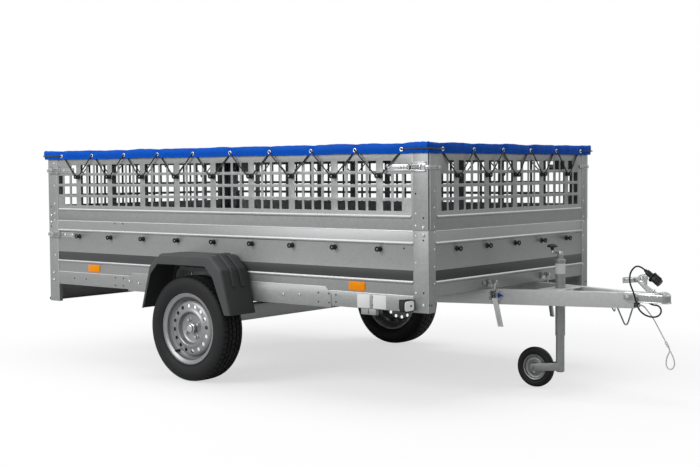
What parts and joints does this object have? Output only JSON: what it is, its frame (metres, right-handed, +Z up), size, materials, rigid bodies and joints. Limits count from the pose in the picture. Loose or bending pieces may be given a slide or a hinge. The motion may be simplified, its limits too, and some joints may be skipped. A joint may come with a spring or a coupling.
{
  "type": "utility trailer",
  "caption": "Single-axle tipping utility trailer with ribbed galvanised bed, slotted extension walls, laced flat tarpaulin cover, V drawbar, ball coupling and jockey wheel.",
  "frame": {"origin": "on the ground, below the middle of the trailer's overall length and width, free cords left out", "axes": "+X forward to the coupling, +Y to the trailer's left side, +Z up from the ground"},
  "size_m": [3.5949, 1.91, 1.2083],
  "materials": {
    "galvanised_steel": "hot-dip galvanised sheet, spangled, satin",
    "galvanised_dark": "hot-dip galvanised tube and rolled sections, dull",
    "floor_plywood": "film-faced plywood, dark brown, wire-mesh print",
    "cover_fabric": "coated polyester tarpaulin, royal blue, satin",
    "elastic_cord": "woven elastic cord, black",
    "black_plastic": "injection-moulded polypropylene, black, fine grain",
    "fender_plastic": "vacuum-formed plastic, charcoal, satin",
    "tyre_rubber": "tyre rubber, black, dusty",
    "black_rubber": "moulded rubber, black, matt",
    "rim_paint": "silver lacquered steel, smooth",
    "zinc_fittings": "bright zinc-plated pressed steel",
    "amber_lens": "amber prismatic reflector, glossy",
    "red_lens": "red lamp lens, glossy",
    "cable_jacket": "PVC cable jacket, black",
    "white_sleeve": "clear plastic sleeve over steel strand, whitish"
  },
  "bodies": {
    "chassis": {"axle_tube": "galvanised_dark", "swing_arm_right": "galvanised_dark", "swing_arm_left": "galvanised_dark", "drawbar_beam_right": "galvanised_dark", "drawbar_beam_left": "galvanised_dark", "drawbar_tie_plate": "galvanised_dark", "coupling_head": "zinc_fittings", "coupling_handle": "zinc_fittings", "pivot_brackets": "galvanised_dark", "tilt_latch_levers": "zinc_fittings", "jockey_outer_tube": "zinc_fittings", "jockey_clamp": "galvanised_dark", "jockey_crank": "black_plastic", "cable_rest_wire": "zinc_fittings", "lead_plug": "black_plastic", "lead_cable": "cable_jacket", "safety_cable": "white_sleeve", "safety_loop": "white_sleeve", "safety_ferrules": "zinc_fittings"},
    "bed": {"floor_board": "floor_plywood", "floor_cross_members": "galvanised_steel", "sill_rail_right": "galvanised_steel", "sill_rail_left": "galvanised_steel", "side_plate_right": "galvanised_steel", "side_plate_left": "galvanised_steel", "side_panel_right": "galvanised_steel", "side_panel_left": "galvanised_steel", "front_panel": "galvanised_steel", "rear_light_board": "galvanised_steel", "corner_posts_front": "galvanised_steel", "corner_posts_rear": "galvanised_steel", "corner_posts_upper": "galvanised_steel", "slotted_wall_right": "galvanised_steel", "slotted_wall_left": "galvanised_steel", "slotted_wall_front": "galvanised_steel", "slotted_wall_rear": "galvanised_steel", "cover": "cover_fabric", "cover_cord": "elastic_cord", "cover_hooks": "black_plastic", "fender_right": "fender_plastic", "fender_left": "fender_plastic", "side_reflectors": "amber_lens", "front_lamps": "black_rubber", "rear_lamps": "red_lens", "body_latches": "zinc_fittings", "tilt_latch_hooks": "zinc_fittings"},
    "tailgate": {"tailgate": "galvanised_steel", "tailgate_strikers": "zinc_fittings"},
    "wheel_right": {"wheel_hub_right": "zinc_fittings", "wheel_rim_right": "rim_paint", "wheel_tyre_right": "tyre_rubber"},
    "wheel_left": {"wheel_hub_left": "zinc_fittings", "wheel_rim_left": "rim_paint", "wheel_tyre_left": "tyre_rubber"},
    "jockey_spindle": {"jockey_spindle": "zinc_fittings"},
    "jockey_leg": {"jockey_inner_tube": "zinc_fittings", "jockey_fork": "galvanised_dark"},
    "jockey_wheel": {"jockey_wheel_rim": "black_plastic", "jockey_wheel_tyre": "black_rubber"}
  },
  "joints": [
    {"name": "bed_tilt", "type": "hinge", "parent": "chassis", "child": "bed", "pos_m": [-0.532, 0, 0.466], "axis": [0, -1, 0], "range_deg": [0, 14]},
    {"name": "tailgate_hinge", "type": "hinge", "parent": "bed", "child": "tailgate", "pos_m": [-1.773, 0, 0.508], "axis": [0, 1, 0], "range_deg": [-175, 0]},
    {"name": "wheel_spin_right", "type": "hinge", "parent": "chassis", "child": "wheel_right", "pos_m": [-0.422, -0.8675, 0.2735], "axis": [0, 1, 0], "continuous": true},
    {"name": "wheel_spin_left", "type": "hinge", "parent": "chassis", "child": "wheel_left", "pos_m": [-0.422, 0.8675, 0.2735], "axis": [0, 1, 0], "continuous": true},
    {"name": "jockey_raise", "type": "slide", "parent": "chassis", "child": "jockey_spindle", "axis": [0, 0, 1], "range_m": [0, 0.105]},
    {"name": "jockey_swivel", "type": "hinge", "parent": "jockey_spindle", "child": "jockey_leg", "pos_m": [1.22, 0, 0.2], "axis": [0, 0, 1], "continuous": true},
    {"name": "jockey_spin", "type": "hinge", "parent": "jockey_leg", "child": "jockey_wheel", "pos_m": [1.084, 0, 0.1], "axis": [0, 1, 0], "continuous": true}
  ]
}
